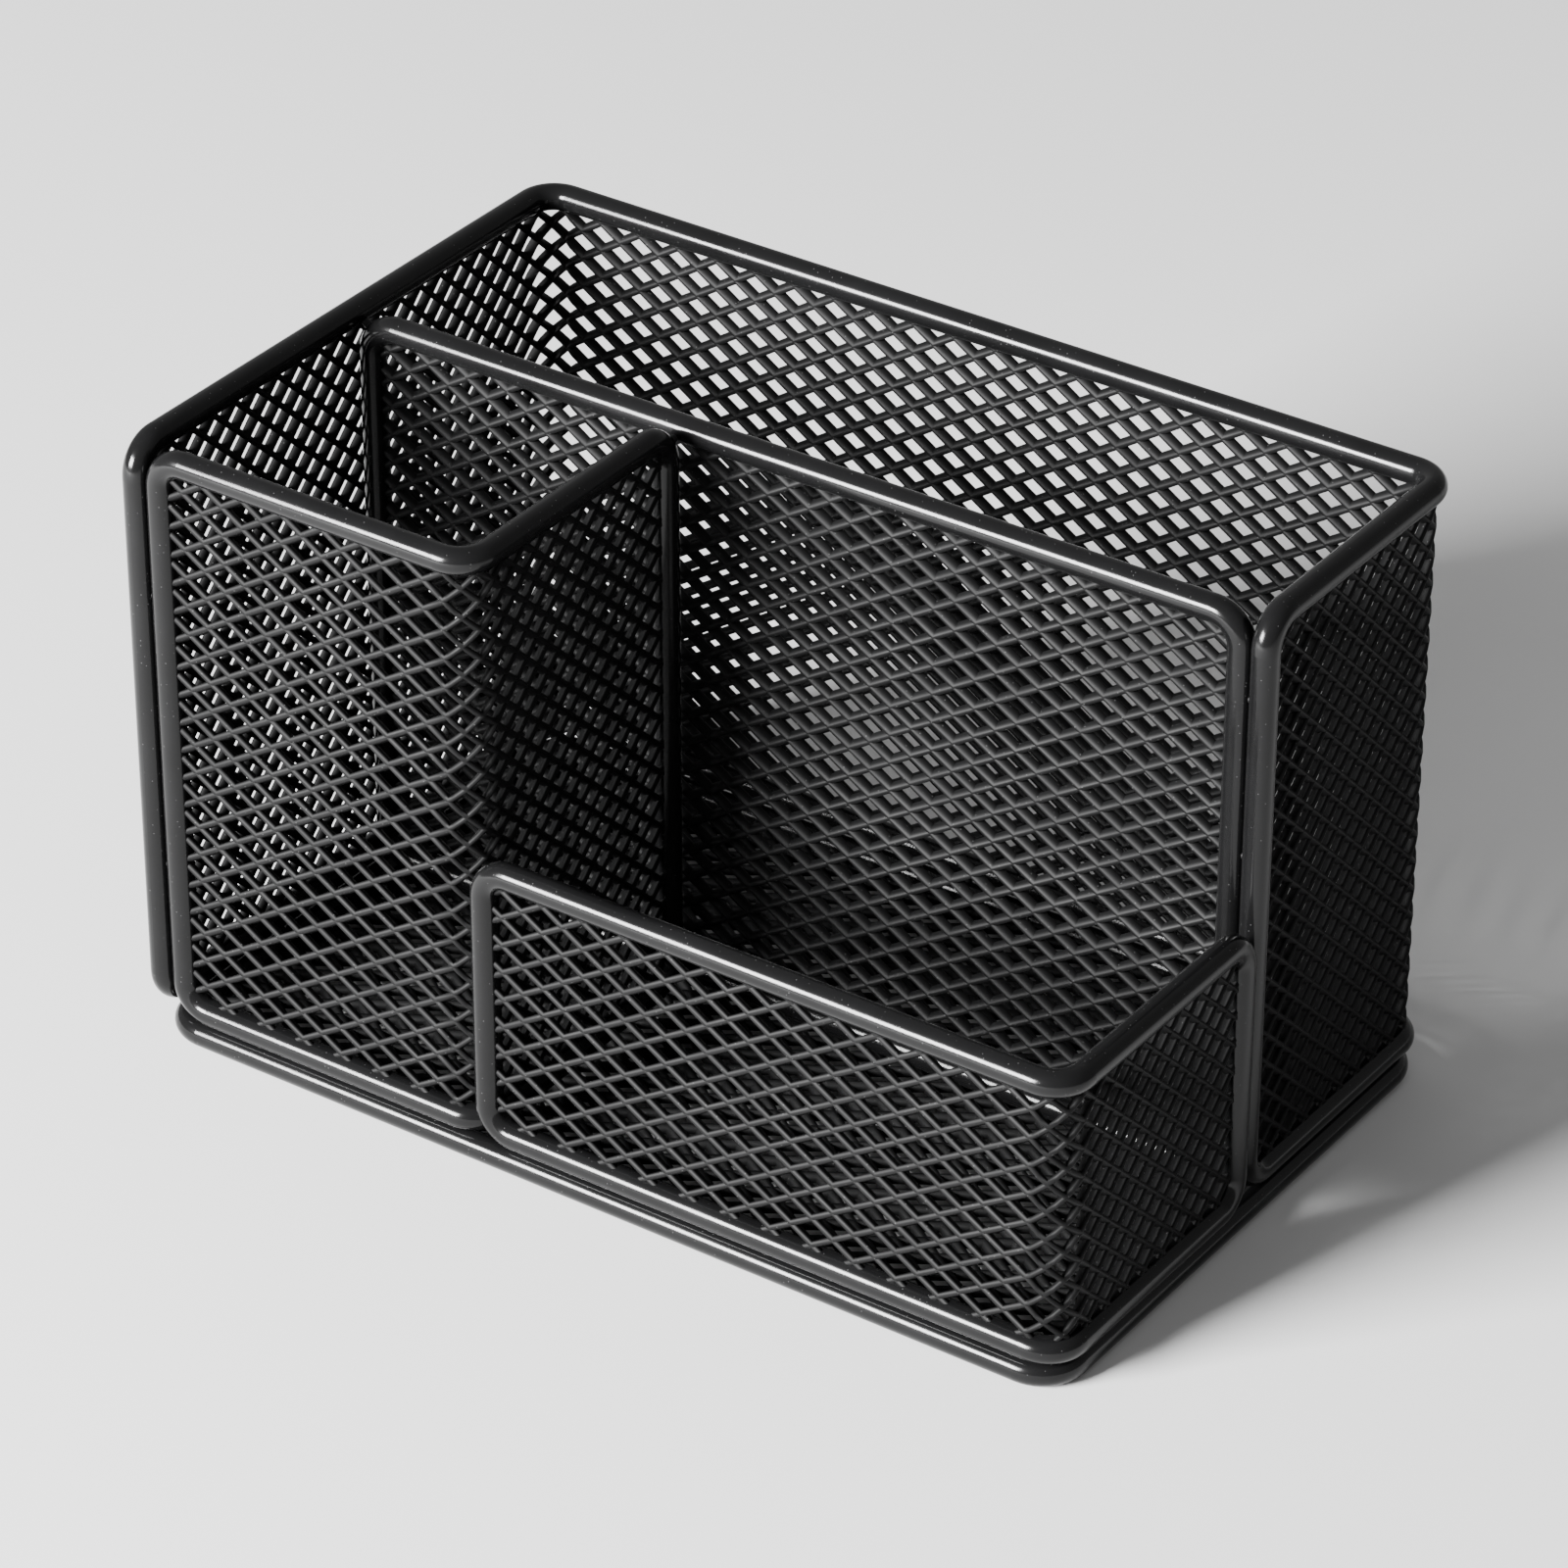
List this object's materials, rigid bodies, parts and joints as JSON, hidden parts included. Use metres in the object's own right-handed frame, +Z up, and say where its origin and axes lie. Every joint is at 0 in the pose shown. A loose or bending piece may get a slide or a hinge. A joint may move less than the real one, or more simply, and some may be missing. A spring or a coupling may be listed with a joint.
{
  "type": "desk organizer",
  "caption": "Black expanded-metal desk organizer on rod frames: a full-width rear bay, a tall pen cup at the front left and a low open tray at the front right.",
  "frame": {"origin": "centre of the bounding box in plan, at desk level under the base frame", "axes": "+Z up, +X to the right when facing the pen cup and tray, +Y towards the back wall"},
  "size_m": [0.176, 0.1112, 0.1101],
  "materials": {
    "wall_rim": "black semi-gloss coated steel rod",
    "wall_mesh": "black semi-gloss coated expanded metal",
    "divider_rim": "black semi-gloss coated steel rod",
    "divider_mesh": "black semi-gloss coated expanded metal",
    "pen_cup_rim": "black semi-gloss coated steel rod",
    "pen_cup_mesh": "black semi-gloss coated expanded metal",
    "tray_rim": "black semi-gloss coated steel rod",
    "tray_mesh": "black semi-gloss coated expanded metal",
    "base_rim": "black semi-gloss coated steel rod",
    "base_mesh": "black semi-gloss coated expanded metal",
    "base_tacks": "black coated weld metal",
    "side_tacks": "black coated weld metal"
  },
  "bodies": {
    "root": {"wall_rim": "wall_rim", "wall_mesh": "wall_mesh", "divider_rim": "divider_rim", "divider_mesh": "divider_mesh", "pen_cup_rim": "pen_cup_rim", "pen_cup_mesh": "pen_cup_mesh", "tray_rim": "tray_rim", "tray_mesh": "tray_mesh", "base_rim": "base_rim", "base_mesh": "base_mesh", "base_tacks": "base_tacks", "side_tacks": "side_tacks"}
  },
  "joints": []
}
